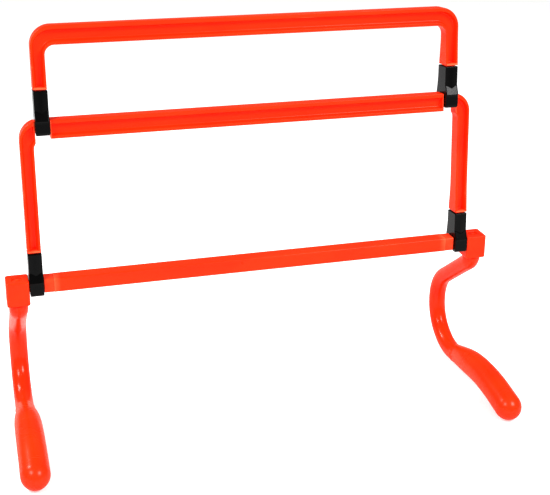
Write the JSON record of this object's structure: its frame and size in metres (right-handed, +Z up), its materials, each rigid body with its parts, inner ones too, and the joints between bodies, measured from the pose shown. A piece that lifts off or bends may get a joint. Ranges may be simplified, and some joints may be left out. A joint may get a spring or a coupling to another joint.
{
  "type": "agility hurdle",
  "caption": "Free-standing training hurdle: a base bar on C-shaped swivelling legs, with folding U-frames clipped above it to give jump bars at stepped heights.",
  "frame": {"origin": "middle of the footprint, on the floor", "axes": "+X along the bars, +Y to the back, where the frames lean, +Z up"},
  "size_m": [0.4892, 0.2018, 0.3932],
  "materials": {
    "shell_orange": "injection-moulded polypropylene, orange-red, gloss",
    "sleeve_orange": "moulded soft vinyl sleeve, orange-red, gloss",
    "clip_black": "injection-moulded nylon, black, satin",
    "screw_steel": "zinc-plated steel self-tapping screw"
  },
  "bodies": {
    "base": {"base_bar": "shell_orange", "left_end_housing": "shell_orange", "left_peg_cap": "shell_orange", "right_end_housing": "shell_orange", "right_peg_cap": "shell_orange"},
    "left_leg": {"left_leg": "shell_orange", "left_foot_sleeve": "sleeve_orange", "left_leg_screw": "screw_steel"},
    "right_leg": {"right_leg": "shell_orange", "right_foot_sleeve": "sleeve_orange", "right_leg_screw": "screw_steel"},
    "lower_frame": {"lower_frame": "shell_orange", "lower_left_clip": "clip_black", "lower_left_clip_screw": "screw_steel", "lower_right_clip": "clip_black", "lower_right_clip_screw": "screw_steel"},
    "upper_frame": {"upper_frame": "shell_orange", "upper_left_clip": "clip_black", "upper_left_clip_screw": "screw_steel", "upper_right_clip": "clip_black", "upper_right_clip_screw": "screw_steel"}
  },
  "joints": [
    {"name": "left_leg_swivel", "type": "hinge", "parent": "base", "child": "left_leg", "pos_m": [-0.2312, 0.01549, 0.14065], "axis": [0, 0, 1], "range_deg": [0, 90]},
    {"name": "right_leg_swivel", "type": "hinge", "parent": "base", "child": "right_leg", "pos_m": [0.2312, 0.01549, 0.14065], "axis": [0, 0, -1], "range_deg": [0, 90]},
    {"name": "lower_frame_fold", "type": "hinge", "parent": "base", "child": "lower_frame", "pos_m": [0, 0.01549, 0.15065], "axis": [-1, 0, 0], "range_deg": [-124.2, 154.8]},
    {"name": "upper_frame_fold", "type": "hinge", "parent": "lower_frame", "child": "upper_frame", "pos_m": [0, 0.0266, 0.30189], "axis": [-1, 0, 0], "range_deg": [0, 180]}
  ]
}
